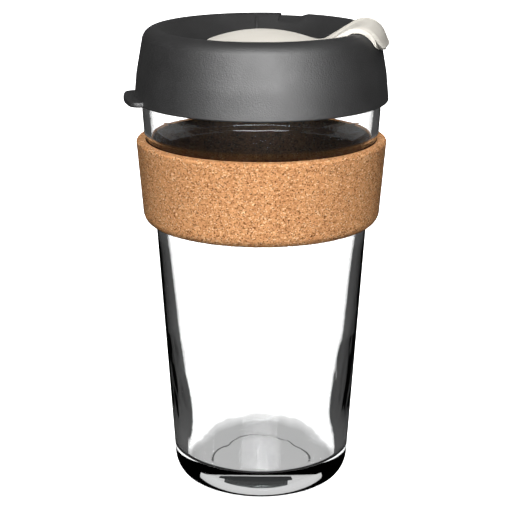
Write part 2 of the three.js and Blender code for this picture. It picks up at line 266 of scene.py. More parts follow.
def arc(x: float, y: float, radius: float, first: float, last: float, steps: int) -> list[Vector]:
    """Points along a round arc.

    Args:
        x: The centre's first coordinate.
        y: The centre's second coordinate.
        radius: The arc's radius.
        first: The angle where it starts.
        last: The angle where it ends.
        steps: How many steps it has.

    Returns:
        The points, both ends included.
    """
    return [Vector((x + radius * cos(a), y + radius * sin(a))) for a in steps_between(first, last, steps)]


# --------------------------------------------------------------------------- meshes


def turned(points: Sequence[Vector], steps: int, angle: float = 2 * pi) -> bmesh.types.BMesh:
    """Turns an outline about the cup's axis.

    Args:
        points: The outline. One that starts and ends on the axis makes a closed body by itself;
            any other is closed into a ring first.
        steps: How many steps the turn has.
        angle: How far it turns. Less than a full turn is centred on +X and gets end caps.

    Returns:
        A closed mesh with its faces out.
    """
    mesh = bmesh.new()
    whole = angle >= 2 * pi - WELD
    start = 0.0 if whole else -angle / 2
    ring = points[0].x > WELD or points[-1].x > WELD
    turn = Matrix.Rotation(start, 4, "Z")
    verts = [mesh.verts.new(turn @ Vector((max(p.x, 0.0), 0.0, p.y))) for p in points]
    edges = [mesh.edges.new(pair) for pair in zip(verts, verts[1:])]
    if ring:
        edges.append(mesh.edges.new((verts[-1], verts[0])))
    geometry: list = verts + edges
    if not whole:
        cap = mesh.faces.new(verts)
        geometry = verts + list(cap.edges) + [cap]
    bmesh.ops.spin(
        mesh, geom=geometry, cent=(0, 0, 0), axis=(0, 0, 1), angle=angle, steps=steps,
        use_merge=whole, use_duplicate=False,
    )
    if not whole:
        cap_start(mesh)
    bmesh.ops.remove_doubles(mesh, verts=mesh.verts, dist=WELD)
    bmesh.ops.dissolve_degenerate(mesh, edges=mesh.edges, dist=WELD)
    bmesh.ops.recalc_face_normals(mesh, faces=mesh.faces)
    return mesh


def cap_start(mesh: bmesh.types.BMesh) -> None:
    """Closes the first end of a part turn, which the spin leaves open.

    Args:
        mesh: The mesh to close.
    """
    bmesh.ops.remove_doubles(mesh, verts=mesh.verts, dist=WELD)
    open_edges = [edge for edge in mesh.edges if edge.is_boundary]
    if open_edges:
        bmesh.ops.contextual_create(mesh, geom=open_edges)


def round_edges(mesh: bmesh.types.BMesh, edges: Sequence[bmesh.types.BMEdge], width: float) -> None:
    """Rounds some edges of a mesh.

    Args:
        mesh: The mesh.
        edges: The edges to round.
        width: The width of the rounding.
    """
    bmesh.ops.bevel(
        mesh, geom=edges, offset=width, offset_type="OFFSET", affect="EDGES", segments=3,
        profile=0.5, material=-1, clamp_overlap=True,
    )


def swing(mesh: bmesh.types.BMesh, angle: float) -> None:
    """Turns a mesh about the cup's axis."""
    bmesh.ops.rotate(mesh, verts=mesh.verts, cent=(0, 0, 0), matrix=Matrix.Rotation(angle, 3, "Z"))


def slab(outline: Sequence[Vector], bottom: float, top: float, edge: float) -> bmesh.types.BMesh:
    """Extrudes a plan outline between two heights and rounds its long edges.

    Args:
        outline: The plan outline's points, anticlockwise.
        bottom: The lower height.
        top: The upper height.
        edge: The width of the rounding, or 0 for none.

    Returns:
        A closed mesh with its faces out.
    """
    mesh = bmesh.new()
    verts = [mesh.verts.new((p.x, p.y, bottom)) for p in outline]
    base = mesh.faces.new(verts)
    made = bmesh.ops.extrude_face_region(mesh, geom=[base])
    raised = [item for item in made["geom"] if isinstance(item, bmesh.types.BMVert)]
    bmesh.ops.translate(mesh, verts=raised, vec=(0, 0, top - bottom))
    bmesh.ops.recalc_face_normals(mesh, faces=mesh.faces)
    if edge:
        round_edges(mesh, [e for e in mesh.edges if abs(e.verts[0].co.z - e.verts[1].co.z) < WELD], edge)
    return mesh


def lift(mesh: bmesh.types.BMesh, outline: Sequence[Vector], amount: Callable[[int, Vector], float]) -> None:
    """Moves the points of a turned mesh along the normals of the outline that it was turned from.

    Args:
        mesh: The turned mesh.
        outline: Its closed outline.
        amount: Gives the distance for an outline point's number and the mesh point's place.
    """
    count = len(outline)
    tree = kdtree.KDTree(count)
    for index, point in enumerate(outline):
        tree.insert((point.x, 0.0, point.y), index)
    tree.balance()
    area = sum(a.x * b.y - b.x * a.y for a, b in zip(outline, [*outline[1:], outline[0]]))
    side = 1.0 if area > 0 else -1.0
    for vert in mesh.verts:
        out = hypot(vert.co.x, vert.co.y)
        _, index, _ = tree.find((out, 0.0, vert.co.z))
        along = (outline[(index + 1) % count] - outline[index - 1]).normalized()
        move = amount(index, vert.co) * side
        vert.co.x += vert.co.x / out * along.y * move
        vert.co.y += vert.co.y / out * along.y * move
        vert.co.z -= along.x * move


def shade(data: bpy.types.Mesh) -> None:
    """Shades a mesh smooth, apart from its sharp edges."""
    data.polygons.foreach_set("use_smooth", [True] * len(data.polygons))
    data.set_sharp_from_angle(angle=SHARP_ANGLE)


def to_object(name: str, mesh: bmesh.types.BMesh, material: bpy.types.Material | None) -> bpy.types.Object:
    """Makes a smooth-shaded object of a mesh and frees the mesh.

    Args:
        name: The object's name.
        mesh: The mesh, in its place.
        material: The finish, if it has one.

    Returns:
        The object, at the origin.
    """
    data = bpy.data.meshes.new(name)
    mesh.to_mesh(data)
    mesh.free()
    shade(data)
    if material:
        data.materials.append(material)
    piece = bpy.data.objects.new(name, data)
    bpy.context.scene.collection.objects.link(piece)
    return piece


def combine(target: bpy.types.Object, tool: bpy.types.Object, operation: str) -> None:
    """Joins a tool to a piece, or cuts it out, and removes the tool.

    Args:
        target: The piece that is changed.
        tool: The shape that is joined or cut.
        operation: UNION or DIFFERENCE.
    """
    modifier = target.modifiers.new("combine", "BOOLEAN")
    modifier.operation = operation
    modifier.solver = "EXACT"
    modifier.object = tool
    bake(target)
    data = tool.data
    bpy.data.objects.remove(tool)
    bpy.data.meshes.remove(data)


def bake(piece: bpy.types.Object) -> None:
    """Applies a piece's modifiers to its mesh.

    Args:
        piece: The piece, whose modifiers are removed afterwards.
    """
    bpy.context.view_layer.update()
    shape = piece.evaluated_get(bpy.context.evaluated_depsgraph_get())
    data = bpy.data.meshes.new_from_object(shape)
    old = piece.data
    piece.modifiers.clear()
    piece.data = data
    data.name = piece.name
    bpy.data.meshes.remove(old)
    shade(data)


def azimuth(point: Vector) -> float:
    """The angle of a point about the axis, from +X towards +Y, in radians."""
    return Vector((1, 0)).angle_signed(point.xy, 0.0) * -1.0


def smoothstep(low: float, high: float, value: float) -> float:
    """Rises smoothly from 0 at low to 1 at high."""
    share = max(0.0, min(1.0, (value - low) / (high - low)))
    return share * share * (3 - 2 * share)


# --------------------------------------------------------------------------- finishes


Socket = bpy.types.NodeSocket
Feed = Socket | float | tuple


class Graph:
    """A short way to build a node tree."""

    def __init__(self, tree: bpy.types.NodeTree, coordinates: str) -> None:
        """Empties a tree and gives it its coordinates.

        Args:
            tree: The tree of a material or a world.
            coordinates: The coordinates that its patterns read.
        """
        self.tree = tree
        self.tree.nodes.clear()
        self.place: Socket = self.node("TexCoord").outputs[coordinates]

    def feed(self, socket: Socket, value: Feed) -> None:
        """Links a socket to another one, or sets its value.

        Args:
            socket: The socket that is fed.
            value: The socket to link from, or a plain value.
        """
        if isinstance(value, Socket):
            self.tree.links.new(value, socket)
        else:
            socket.default_value = value

    def node(self, kind: str, inputs: dict | None = None, **settings: object) -> bpy.types.Node:
        """Adds a node.

        Args:
            kind: The node's type, without its ShaderNode prefix.
            inputs: Socket values or links by name or index.
            settings: Properties of the node.

        Returns:
            The node.
        """
        made = self.tree.nodes.new("ShaderNode" + kind)
        for key, value in settings.items():
            setattr(made, key, value)
        for key, value in (inputs or {}).items():
            self.feed(made.inputs[key], value)
        return made

    def noise(
        self, scale: float, detail: float = 4.0, roughness: float = 0.5, where: Socket | None = None,
    ) -> Socket:
        """A noise pattern's value, over the tree's coordinates or another vector."""
        inputs = {"Vector": where or self.place, "Scale": scale, "Detail": detail, "Roughness": roughness}
        return self.node("TexNoise", inputs).outputs[0]

    def voronoi(self, scale: float, feature: str, output: str, where: Socket) -> Socket:
        """One output of a Voronoi pattern over a vector."""
        node = self.node("TexVoronoi", {"Vector": where, "Scale": scale}, feature=feature)
        return node.outputs[output]

    def scaled(self, vector: Socket, factors: tuple) -> Socket:
        """A vector with each of its coordinates multiplied."""
        return self.node("VectorMath", {0: vector, 1: factors}, operation="MULTIPLY").outputs[0]

    def ramp(self, value: Socket, stops: Sequence[tuple[float, tuple]]) -> Socket:
        """A colour ramp's colour.

        Args:
            value: The socket that drives it.
            stops: Places from 0 to 1, rising, with their linear colours.

        Returns:
            The colour socket.
        """
        node = self.node("ValToRGB", {"Fac": value})
        elements = node.color_ramp.elements
        while len(elements) < len(stops):
            elements.new(0.5)
        for element, (where, colour) in zip(elements, stops):
            element.position = where
            element.color = (*colour, 1.0)
        return node.outputs["Color"]

    def remap(self, value: Socket, low: float, high: float, out_low: float, out_high: float) -> Socket:
        """Maps one range of a value onto another, clamped."""
        inputs = {"Value": value, "From Min": low, "From Max": high, "To Min": out_low, "To Max": out_high}
        return self.node("MapRange", inputs, clamp=True).outputs["Result"]

    def mix(self, share: Feed, first: Feed, second: Feed) -> Socket:
        """Mixes two colours.

        Args:
            share: How much of the second colour there is, from 0 to 1.
            first: The first colour.
            second: The second colour.

        Returns:
            The mixed colour.
        """
        first, second = ((*item, 1.0) if isinstance(item, tuple) else item for item in (first, second))
        return self.node("Mix", {0: share, 6: first, 7: second}, data_type="RGBA").outputs[2]

    def math(self, operation: str, first: Feed, second: Feed, clamp: bool = False) -> Socket:
        """One step of arithmetic."""
        return self.node("Math", {0: first, 1: second}, operation=operation, use_clamp=clamp).outputs[0]

    def bump(
        self, height: Socket, distance: float, strength: float = 1.0, under: Socket | None = None,
    ) -> Socket:
        """A bump normal.

        Args:
            height: The pattern that stands up.
            distance: The height in metres that the pattern's value of 1 stands for.
            strength: How much of the effect shows, from 0 to 1.
            under: The normal that it is laid over, if there is one.

        Returns:
            The normal socket.
        """
        inputs = {"Height": height, "Distance": distance, "Strength": strength}
        if under is not None:
            inputs["Normal"] = under
        return self.node("Bump", inputs).outputs["Normal"]


class Paint(Graph):
    """A material's node tree, over Object coordinates."""

    def __init__(self, name: str) -> None:
        """Starts a material.

        Args:
            name: The material's name.
        """
        self.material = bpy.data.materials.new(name)
        self.material.use_nodes = True
        super().__init__(self.material.node_tree, "Object")

    def finish(self, shader: bpy.types.Node, volume: bpy.types.Node | None = None) -> bpy.types.Material:
        """Links the surface, and the volume if there is one, to the output.

        Args:
            shader: The surface's shader.
            volume: The volume's shader.

        Returns:
            The finished material.
        """
        inputs = {"Surface": shader.outputs[0]}
        if volume is not None:
            inputs["Volume"] = volume.outputs[0]
        self.node("OutputMaterial", inputs)
        return self.material


@dataclass(frozen=True)
class ClearGlass:
    """Polished pressed glass: faintly wavy from its mould, and slightly grey where it is thick."""

    name: str = "clear_glass"
    tint: tuple = (1.0, 1.0, 1.0)
    wave_tint: tuple = (0.98, 0.985, 0.985)
    ior: float = 1.52
    wave_scale: float = 70.0
    wave_height: float = 0.00003
    polish_scale: float = 900.0
    dullest: float = 0.02
    streak_scale: float = 75.0
    streak_stretch: tuple = (2.0, 2.0, 0.7)
    streak_heights: tuple = (0.066, 0.036)
    streak_ends: tuple = (0.015, 0.024)
    streak_height: float = 0.0002
    smoke: tuple = (0.38, 0.40, 0.40)
    smoke_density: float = 3.0

    def streaks(self, graph: Graph) -> Socket:
        """The soft upright streaks of the heavy lower wall, which fade out above it and at the floor.

        Args:
            graph: The material's tree.

        Returns:
            The streaks' height, from 0 to 1.
        """
        height = graph.node("SeparateXYZ", {0: graph.place}).outputs["Z"]
        above_floor = graph.remap(height, *self.streak_ends, 0.0, 1.0)
        heavy = graph.math("MULTIPLY", graph.remap(height, *self.streak_heights, 0.0, 1.0), above_floor)
        stretched = graph.scaled(graph.place, self.streak_stretch)
        return graph.math("MULTIPLY", graph.noise(self.streak_scale, detail=1.0, where=stretched), heavy)

    def build(self) -> bpy.types.Material:
        """Builds the material.

        Returns:
            The finished material.
        """
        graph = Paint(self.name)
        slow = graph.noise(self.wave_scale, detail=2.0)
        polish = graph.noise(self.polish_scale, detail=3.0)
        streaked = graph.bump(self.streaks(graph), self.streak_height)
        shader = graph.node("BsdfPrincipled", {
            "Base Color": graph.ramp(slow, [(0.3, self.wave_tint), (0.7, self.tint)]),
            "Roughness": graph.remap(polish, 0.45, 0.8, 0.0, self.dullest),
            "IOR": self.ior,
            "Transmission Weight": 1.0,
            "Normal": graph.bump(slow, self.wave_height, under=streaked),
        })
        smoke = graph.node("VolumeAbsorption", {"Color": (*self.smoke, 1.0), "Density": self.smoke_density})
        return graph.finish(shader, smoke)


@dataclass(frozen=True)
class PressedCork:
    """Fine pressed cork: crumbs about a millimetre across, with bark specks, pale flecks and pits."""

    name: str = "pressed_cork"
    granule: float = 0.0010
    crumb: float = 0.00045
    squash: tuple = (1.0, 1.0, 1.5)
    drift_scale: float = 700.0
    grain_scale: float = 2400.0
    grain_share: float = 0.45
    cloud_scale: float = 160.0
    speck_scale: float = 1700.0
    pit_scale: float = 1900.0
    bump_height: float = 0.0002
    roughness: tuple = (0.78, 0.95)
    specular: float = 0.05
    # How dark this face's colours are made: 1 outside, and below 1 on the bore, where it is painted shade for
    # the face that sits in shadow against the glass.
    shade: float = 1.0
    dark: tuple = (0.34, 0.132, 0.048)
    middle: tuple = (0.58, 0.266, 0.107)
    pale: tuple = (0.77, 0.407, 0.185)
    fleck: tuple = (0.89, 0.61, 0.35)
    bark: tuple = (0.10, 0.030, 0.009)

    def tone(self, colour: tuple) -> tuple:
        """A colour multiplied by this face's shade, which is below 1 where the cork is darkened as painted
        shade.
        """
        return tuple(channel * self.shade for channel in colour)

    def cells(self, graph: Graph, size: float, where: Socket) -> tuple[Socket, Socket]:
        """Two random values for each cell of a packed pattern."""
        split = graph.node("SeparateColor", {"Color": graph.voronoi(1 / size, "F1", "Color", where)})
        return split.outputs["Red"], split.outputs["Green"]

    def warped(self, graph: Graph) -> Socket:
        """Coordinates that drift about and are squashed, so that no crumb is regular.

        Args:
            graph: The material's tree.

        Returns:
            The coordinates.
        """
        noise_inputs = {"Vector": graph.place, "Scale": self.drift_scale, "Detail": 3.0}
        drift = graph.node("TexNoise", noise_inputs).outputs["Color"]
        bend = graph.scaled(drift, (self.granule,) * 3)
        warp = graph.node("VectorMath", {0: graph.place, 1: bend}, operation="ADD").outputs[0]
        return graph.scaled(warp, self.squash)

    def build(self) -> bpy.types.Material:
        """Builds the material.

        Returns:
            The finished material.
        """
        graph = Paint(self.name)
        where = self.warped(graph)
        cell, _ = self.cells(graph, self.granule, where)
        small, other = self.cells(graph, self.crumb, where)
        dark, middle, pale, fleck, bark = (
            self.tone(colour) for colour in (self.dark, self.middle, self.pale, self.fleck, self.bark)
        )
        body = graph.ramp(cell, [(0.0, dark), (0.3, middle), (1.0, pale)])
        fine = graph.noise(self.grain_scale, detail=5.0, roughness=0.75)
        body = graph.mix(self.grain_share, body, graph.ramp(fine, [(0.35, dark), (0.62, pale)]))
        cloud = graph.remap(graph.noise(self.cloud_scale, detail=3.0), 0.35, 0.65, 0.0, 0.35)
        body = graph.mix(cloud, body, middle)
        body = graph.mix(graph.remap(small, 0.88, 0.94, 0.0, 0.8), body, fleck)
        body = graph.mix(graph.remap(other, 0.10, 0.06, 0.0, 0.8), body, bark)
        speckle = graph.noise(self.speck_scale, detail=4.0, roughness=0.7)
        specks = graph.remap(speckle, 0.575, 0.63, 0.0, 0.85)
        seam = graph.voronoi(1 / self.granule, "DISTANCE_TO_EDGE", "Distance", where)
        height = graph.math("SUBTRACT", graph.noise(self.pit_scale, detail=5.0, roughness=0.7), specks)
        height = graph.math("ADD", height, graph.remap(seam, 0.0, 0.2, 0.0, 0.35))
        shader = graph.node("BsdfPrincipled", {
            "Base Color": graph.mix(specks, body, bark),
            "Roughness": graph.remap(cell, 0.0, 1.0, *self.roughness),
            "Specular IOR Level": self.specular,
            "Normal": graph.bump(height, self.bump_height),
        })
        return graph.finish(shader)


@dataclass(frozen=True)
class SatinPlastic:
    """A moulded plastic or elastomer with a fine spark-eroded grain and faint dust."""

    name: str
    colour: tuple
    worn: tuple
    roughness: tuple
    specular: float = 0.5
    grain_scale: float = 2200.0
    grain_height: float = 0.00014
    cloud_scale: float = 45.0
    cloud_height: float = 0.00004
    gloss_scale: float = 120.0
    dust_scale: float = 1900.0
    dust_lift: float = 1.35

    def build(self) -> bpy.types.Material:
        """Builds the material.

        Returns:
            The finished material.
        """
        graph = Paint(self.name)
        cloud = graph.noise(self.cloud_scale, detail=3.0)
        fine = graph.noise(self.grain_scale, detail=2.0)
        dust = graph.remap(graph.noise(self.dust_scale, detail=4.0, roughness=0.7), 0.66, 0.74, 0.0, 0.35)
        colour = graph.mix(graph.remap(cloud, 0.35, 0.7, 0.0, 1.0), self.colour, self.worn)
        pale = tuple(min(1.0, channel * self.dust_lift) for channel in self.worn)
        grain = graph.bump(fine, self.grain_height, 0.7)
        shader = graph.node("BsdfPrincipled", {
            "Base Color": graph.mix(dust, colour, pale),
            "Roughness": graph.remap(graph.noise(self.gloss_scale, detail=5.0), 0.3, 0.7, *self.roughness),
            "Specular IOR Level": self.specular,
            "Normal": graph.bump(cloud, self.cloud_height, 0.6, grain),
        })
        return graph.finish(shader)


@dataclass(frozen=True)
class PaleFloor:
    """A plain, brightly lit white table, which is dim to anything that it is reflected in, and has a painted
    contact shadow under the cup that shows only through the glass.
    """

    colour: tuple = (0.02, 0.02, 0.02)
    roughness: tuple = (0.75, 0.85)
    glow_low: tuple = (0.985, 0.985, 0.985)
    glow_high: tuple = (1.0, 1.0, 1.0)
    glow: float = 2.4
    dim_glow: tuple = (0.012, 0.045)
    # Painted contact shadow: the radii where the dimmed glow under the cup fades out, and its level at the
    # middle.
    painted_shadow_radii: tuple = (0.026, 0.048)
    painted_shadow_level: float = 0.2

    def build(self) -> bpy.types.Material:
        """Builds the material.

        Returns:
            The finished material.
        """
        graph = Paint("pale_floor")
        soft = graph.ramp(graph.noise(3.0, detail=2.0), [(0.3, self.glow_low), (0.7, self.glow_high)])
        path = graph.node("LightPath").outputs
        bounces = graph.math("ADD", path["Diffuse Depth"], path["Glossy Depth"])
        direct = graph.math("LESS_THAN", bounces, 0.5)
        patches = graph.remap(graph.noise(9.0, detail=3.0), 0.5, 0.7, *self.dim_glow)
        # Painted contact shadow: inside a disc under the cup the glow fades to the shadow's level, for rays
        # that came through the glass only.
        across = graph.scaled(graph.place, (1.0, 1.0, 0.0))
        distance = graph.node("VectorMath", {0: across}, operation="LENGTH").outputs["Value"]
        painted_shadow_factor = graph.remap(distance, *self.painted_shadow_radii, self.painted_shadow_level, 1.0)
        through = graph.math("GREATER_THAN", path["Transmission Depth"], 0.5)
        painted_shadow_share = graph.math("MULTIPLY", through, graph.math("SUBTRACT", 1.0, painted_shadow_factor))
        shaded = graph.math("SUBTRACT", 1.0, painted_shadow_share)
        extra = graph.math("MULTIPLY", graph.math("MULTIPLY", direct, self.glow), shaded)
        shader = graph.node("BsdfPrincipled", {
            "Base Color": (*self.colour, 1.0),
            "Roughness": graph.remap(graph.noise(40.0), 0.3, 0.7, *self.roughness),
            "Emission Color": soft,
            "Emission Strength": graph.math("MAXIMUM", extra, patches),
        })
        return graph.finish(shader)


# --------------------------------------------------------------------------- pieces


@dataclass
class GlassCup:
    """The pressed glass: a heavy foot, a wall that thins upwards, and a shoulder under the rim."""

    material: bpy.types.Material
    foot_material: bpy.types.Material
    height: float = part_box("glass_cup")[1][2]
    foot_radius: float = 0.0307
    foot_fillet: float = 0.0105
    punt_radius: float = 0.017
    punt_depth: float = 0.001
    shoulder_drop: float = 0.0267
    shoulder_radius: float = 0.0388
    collar_drop: float = 0.0205
    collar_radius: float = 0.0408
    rim_radius: float = 0.0413
    rim_wall: float = 0.0024
    rim_straight: float = 0.013
    shoulder_wall: float = 0.003
    floor_thickness: float = 0.0116
    floor_radius: float = 0.0262
    floor_fillet: float = 0.0018
    wall_steps: tuple = ((0.091, 0.0033), (0.057, 0.0044), (0.042, 0.0053))
    steps: int = 192

    @property
    def shoulder_height(self) -> float:
        """Height where the cone ends and the shoulder begins."""
        return self.height - self.shoulder_drop

    def cone_radius(self, height: float) -> float:
        """Radius of the outer cone at a height."""
        return self.foot_radius + (self.shoulder_radius - self.foot_radius) * height / self.shoulder_height

    def side(self) -> list[Corner]:
        """The outer side, from the foot up to the straight rim.

        Returns:
            The side's corners.
        """
        return [
            Corner(self.foot_radius, 0, self.foot_fillet),
            Corner(self.shoulder_radius, self.shoulder_height, 0.004),
            Corner(self.collar_radius, self.height - self.collar_drop, 0.004),
            Corner(self.rim_radius, self.height - self.rim_straight, 0.006),
        ]

    def outline(self) -> list[Corner]:
        """The whole section, from the underside's centre round to the floor's centre.

        Returns:
            The section's corners.
        """
        lip = 0.45 * self.rim_wall
        inner_rim = self.rim_radius - self.rim_wall
        steps = [Corner(self.cone_radius(z) - wall, z, 0.02) for z, wall in self.wall_steps]
        return [
            Corner(0, self.punt_depth),
            Corner(self.punt_radius, self.punt_depth, 0.0006),
            Corner(self.punt_radius + self.punt_depth, 0, 0.0006),
            *self.side(),
            Corner(self.rim_radius, self.height, lip),
            Corner(inner_rim, self.height, lip),
            Corner(inner_rim, self.height - self.rim_straight, 0.006),
            Corner(self.collar_radius - self.rim_wall, self.height - self.collar_drop, 0.004),
            Corner(self.shoulder_radius - self.shoulder_wall, self.shoulder_height - 0.001, 0.005),
            *steps,
            Corner(self.floor_radius - 0.0004, self.floor_thickness + 0.012, 0.06),
            Corner(self.floor_radius, self.floor_thickness, self.floor_fillet),
            Corner(0, self.floor_thickness),
        ]

    def build(self) -> bpy.types.Object:
        """Makes the glass and puts it in its node's place.

        Returns:
            The settled piece.
        """
        mesh = turned(refined(rounded(self.outline(), radians(5)), 0.004), self.steps)
        for face in mesh.faces:
            face.material_index = int(face.calc_center_median().z < self.foot_fillet)
        piece = to_object("pressed_glass", mesh, self.material)
        piece.data.materials.append(self.foot_material)
        return settle(piece, Body.CUP, "glass_cup")


@dataclass
class CorkBand:
    """The cork ring, with granules that stand out a little and pits between them, and a darker cork on its
    inner face as painted shade.
    """

    material: bpy.types.Material
    bore_painted_shade_material: bpy.types.Material
    glass: GlassCup
    height: float = 0.0295
    nest: float = 0.0038
    top_wall: float = 0.0033
    bottom_wall: float = 0.0038
    bottom_fillet: float = 0.0054
    top_fillet: float = 0.001
    granule: float = 0.0016
    pit_depth: float = 0.00006
    fine_side: float = 0.0006
    steps: int = 432

    def outline(self) -> list[Corner]:
        """The ring's section, clear of the glass all round.

        Returns:
            The section's corners.
        """
        glass = self.glass
        top = glass.shoulder_height + self.nest
        inside = between(rounded(offset(glass.side(), -GAP)), top - self.height, top)
        bottom, nested = inside[0], inside[-1]
        return [
            Corner(bottom.x, bottom.y),
            Corner(bottom.x + self.bottom_wall, bottom.y, self.bottom_fillet),
            Corner(nested.x + self.top_wall, top, self.top_fillet),
            *[Corner(point.x, point.y) for point in reversed(inside[1:])],
        ]

    def roughen(self, mesh: bmesh.types.BMesh) -> None:
        """Sinks the seams between granules and lifts their middles.

        Args:
            mesh: The smooth ring.
        """
        mesh.normal_update()
        moves = []
        for vert in mesh.verts:
            if vert.normal.xy.dot(vert.co.xy) < 0:
                continue
            distances = noise.voronoi(vert.co / self.granule)[0]
            seam = 1 - smoothstep(0.0, 0.35, distances[1] - distances[0])
            crumble = noise.noise(vert.co * 900.0)
            pit = smoothstep(0.32, 0.5, noise.noise(vert.co * 520.0 + Vector((7, 3, 1))))
            moves.append((vert, -self.pit_depth * (seam + 0.35 * crumble + 1.6 * pit)))
        for vert, move in moves:
            vert.co += vert.normal * move

    def build(self) -> bpy.types.Object:
        """Makes the band and puts it in its node's place.

        Returns:
            The settled piece.
        """
        points = rounded(self.outline(), radians(8))
        mesh = turned(refined(points, self.fine_side), self.steps)
        self.roughen(mesh)
        # Faces turned towards the axis take the bore's darkened cork: painted shade.
        for face in mesh.faces:
            face.material_index = int(face.normal.xy.dot(face.calc_center_median().xy) < 0)
        piece = to_object("cork_grip", mesh, self.material)
        piece.data.materials.append(self.bore_painted_shade_material)
        return settle(piece, Body.BAND, "cork_band")


@dataclass
class Lid:
    """The lid moulding: bowl, crest, skirt and flange, with its tab, recess, rib and openings."""

    material: bpy.types.Material
    glass: GlassCup
    wall: float = 0.0018
    skirt_drop: float = 0.0092
    skirt_edge_wall: float = 0.0024
    skirt_wall: float = 0.0015
    corner_rise: float = 0.0188
    lean: float = 0.00335
    crest_fillet: float = 0.0045
    bowl_slope: float = radians(34.7)
    bowl_depth: float = 0.0109
    bowl_fillet: float = 0.008
    groove_rise: float = 0.0097
    rib_wall: float = 0.0015
    rib_drop: float = 0.0048
    stem_hole: float = 0.004
    tab_azimuth: float = radians(188.5)
    tab_reach: float = 0.0037
    tab_half_width: float = 0.0125
    tab_thickness: float = 0.0019
    tab_corner: float = 0.0035
    tab_edge: float = 0.0005
    sip_length: float = 0.010
    sip_width: float = 0.004
    sip_inset: float = 0.00825
    sip_azimuth: float = radians(-9)
    sip_cut_rise: float = 0.012
    recess_azimuth: float = radians(70.5)
    recess_half_angle: float = radians(8.5)
    recess_depth: float = 0.0008
    recess_reach: float = 0.008
    recess_fade: float = radians(5)
    recess_wall: float = radians(0.35)
    stop_azimuth: float = radians(93)
    stop_width: float = 0.0008
    stop_height: float = 0.0009
    stop_inset: float = 0.00675
    stop_length: float = 0.006
    stop_slope: float = 0.001
    stop_fall: float = 0.0004
    stop_swell: float = 0.0009
    stop_end_share: float = 0.6
    steps: int = 288

    @property
    def bottom(self) -> float:
        """Height of the skirt's lower edge."""
        return self.glass.height - self.skirt_drop

    @property
    def groove(self) -> float:
        """Radius of the skirt's inner side."""
        return self.glass.rim_radius + GAP

    @property
    def edge_radius(self) -> float:
        """Radius of the skirt's outer edge."""
        return self.groove + self.skirt_edge_wall

    @property
    def crest(self) -> Corner:
        """The sharp corner that the crest's fillet rounds."""
        radius = self.groove + self.skirt_wall - self.lean
        return Corner(radius, self.glass.height + self.corner_rise, self.crest_fillet)

    @property
    def bowl_floor(self) -> float:
        """Height of the bowl's flat floor."""
        return self.crest.height - self.bowl_depth

    def face(self) -> list[Corner]:
        """The visible side, from the axis over the crest and down to the skirt's edge.

        Returns:
            The side's corners.
        """
        floor_radius = self.crest.radius - self.bowl_depth / tan(self.bowl_slope)
        return [
            Corner(0, self.bowl_floor),
            Corner(floor_radius, self.bowl_floor, self.bowl_fillet),
            self.crest,
            Corner(self.groove + self.skirt_wall, self.glass.height + GAP, 0.012),
            Corner(self.edge_radius, self.bottom),
        ]

    def shell_outline(self) -> list[Corner]:
        """The whole shell's section, from the stem hole round and back to it.

        Returns:
            The section's corners.
        """
        inside = offset(self.face(), -self.wall)
        groove_top = self.glass.height + self.groove_rise
        high, low = inside[2], inside[3]
        share = (groove_top - low.height) / (high.height - low.height)
        groove_top_radius = low.radius + share * (high.radius - low.radius)
        rib = self.glass.rim_radius - self.glass.rim_wall - GAP
        flange = rib - self.rib_wall
        under = inside[1]
        flange_top = under.height + (flange - under.radius) * tan(self.bowl_slope)
        rib_bottom = self.glass.height - self.rib_drop
        return [
            Corner(self.stem_hole, self.bowl_floor),
            *self.face()[1:-1],
            Corner(self.edge_radius, self.bottom, 0.0005),
            Corner(self.groove, self.bottom, 0.0003),
            Corner(self.groove, self.glass.height + GAP, 0.002),
            Corner(groove_top_radius, groove_top, 0.0003),
            Corner(rib, groove_top, 0.0003),
            Corner(rib, rib_bottom, 0.0005),
            Corner(flange, rib_bottom, 0.0005),
            Corner(flange, flange_top, 0.002),
            Corner(under.radius, under.height, self.bowl_fillet),
            Corner(self.stem_hole, under.height),
        ]

    def tab_outline(self) -> list[Vector]:
        """The tab's plan, along +X, with two round corners.

        Returns:
            The plan's points.
        """
        reach = self.edge_radius + self.tab_reach
        distance = reach - self.tab_corner
        side = self.tab_half_width - self.tab_corner
        lean = acos(sqrt(1 - (side / distance) ** 2))
        root = self.edge_radius - self.skirt_edge_wall / 2
        root_lean = acos(sqrt(1 - (self.tab_half_width / root) ** 2))
        centre = Vector((distance * cos(lean), side))
        return [
            *arc(0.0, 0.0, root, root_lean, -root_lean, 16),
            *arc(centre.x, -side, self.tab_corner, -pi / 2, -lean, 8),
            *arc(0.0, 0.0, reach, -lean, lean, 14)[1:-1],
            *arc(centre.x, side, self.tab_corner, lean, pi / 2, 8),
        ]

    def strip(
        self, low: float, high: float, inner: float, bottom: float,
    ) -> tuple[list[Vector], list[Vector]]:
        """Two offsets of the face, from a radius in the bowl, over the crest, to a height outside.

        Args:
            low: The lower offset.
            high: The upper offset.
            inner: The radius where both start.
            bottom: The height where both end.

        Returns:
            The two paths, each from the inside out.
        """
        paths = (rounded(offset(self.face(), distance), radians(5)) for distance in (low, high))
        under, over = (over_crest(refined(path, 0.0008), inner, bottom) for path in paths)
        return under, over

